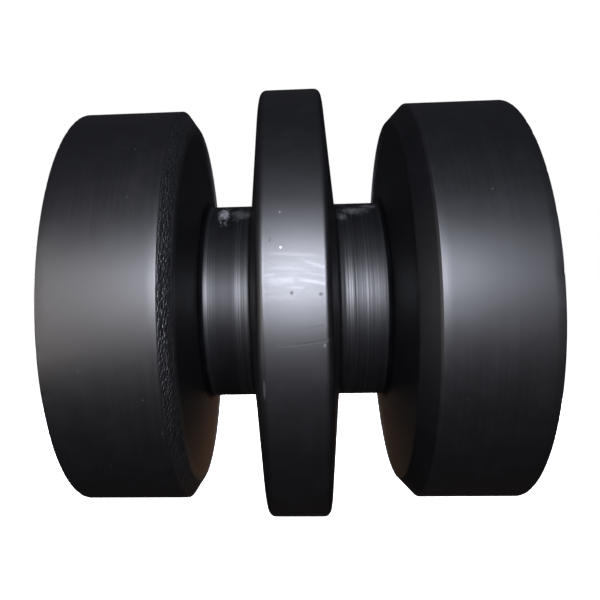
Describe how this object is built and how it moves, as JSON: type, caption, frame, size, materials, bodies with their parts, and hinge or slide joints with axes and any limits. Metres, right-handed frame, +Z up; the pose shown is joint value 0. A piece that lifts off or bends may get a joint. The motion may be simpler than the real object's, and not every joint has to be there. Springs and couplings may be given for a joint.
{
  "type": "track roller",
  "caption": "Lubricated track roller with a wide centre flange, twin plain treads, a fixed through shaft on bushes with floating seals and pinned end collars.",
  "frame": {"origin": "middle of the roller, on the shaft's axis", "axes": "+Y along the shaft towards the end with the oil plug, +Z up towards the flats milled on the shaft ends, +X towards the front"},
  "size_m": [0.272, 0.326, 0.272],
  "materials": {
    "roller_paint": "satin black paint over forged steel, with turned and as-forged faces showing through",
    "collar_paint": "satin black paint over cast steel",
    "shaft_steel": "ground steel with a thin film of oil",
    "bush_bronze": "turned bronze",
    "seal_iron": "fine turned hard iron with a lapped face",
    "seal_rubber": "smooth black nitrile rubber",
    "pin_steel": "ground steel",
    "plug_steel": "dull zinc-plated steel",
    "washer_copper": "soft copper"
  },
  "bodies": {
    "axle": {"axle_shaft": "shaft_steel", "end_collar_left": "collar_paint", "end_collar_right": "collar_paint", "fixed_seal_ring_left": "seal_iron", "fixed_seal_ring_right": "seal_iron", "fixed_toric_ring_left": "seal_rubber", "fixed_toric_ring_right": "seal_rubber", "collar_oring_left": "seal_rubber", "collar_oring_right": "seal_rubber", "lock_pin_left": "pin_steel", "lock_pin_right": "pin_steel", "oil_plug": "plug_steel", "plug_washer": "washer_copper"},
    "roller": {"roller_shell": "roller_paint", "bushing_left": "bush_bronze", "bushing_right": "bush_bronze", "rotating_toric_ring_left": "seal_rubber", "rotating_toric_ring_right": "seal_rubber", "rotating_seal_ring_left": "seal_iron", "rotating_seal_ring_right": "seal_iron"}
  },
  "joints": [
    {"name": "roller_spin", "type": "hinge", "parent": "axle", "child": "roller", "pos_m": [0, 0, 0], "axis": [0, 1, 0], "continuous": true}
  ]
}
